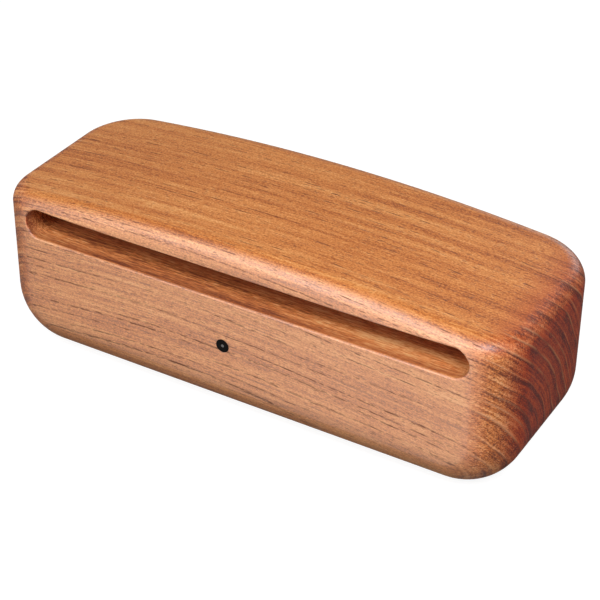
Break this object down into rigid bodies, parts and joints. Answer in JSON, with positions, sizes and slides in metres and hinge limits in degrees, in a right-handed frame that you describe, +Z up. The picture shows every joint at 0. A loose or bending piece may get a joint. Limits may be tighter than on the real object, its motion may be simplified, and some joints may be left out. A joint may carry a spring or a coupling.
{
  "type": "woodblock",
  "caption": "Hardwood slit woodblock with a crowned striking surface, rounded rims, a long sound slot in its front face and a small inlaid dot.",
  "frame": {"origin": "middle of the flat bottom, on the surface that the block rests on", "axes": "+X along the block, +Y to the back, away from the sound slot, +Z up, out of the striking surface"},
  "size_m": [0.216, 0.0816, 0.074],
  "materials": {
    "hardwood": "straight-grained reddish-brown hardwood with open pores under a satin lacquer",
    "black_inlay": "black, sanded flush and lacquered",
    "pale_inlay": "grey, sanded flush"
  },
  "bodies": {
    "root": {"block_body": "hardwood", "dot_plug": "black_inlay", "dot_eye": "pale_inlay"}
  },
  "joints": []
}
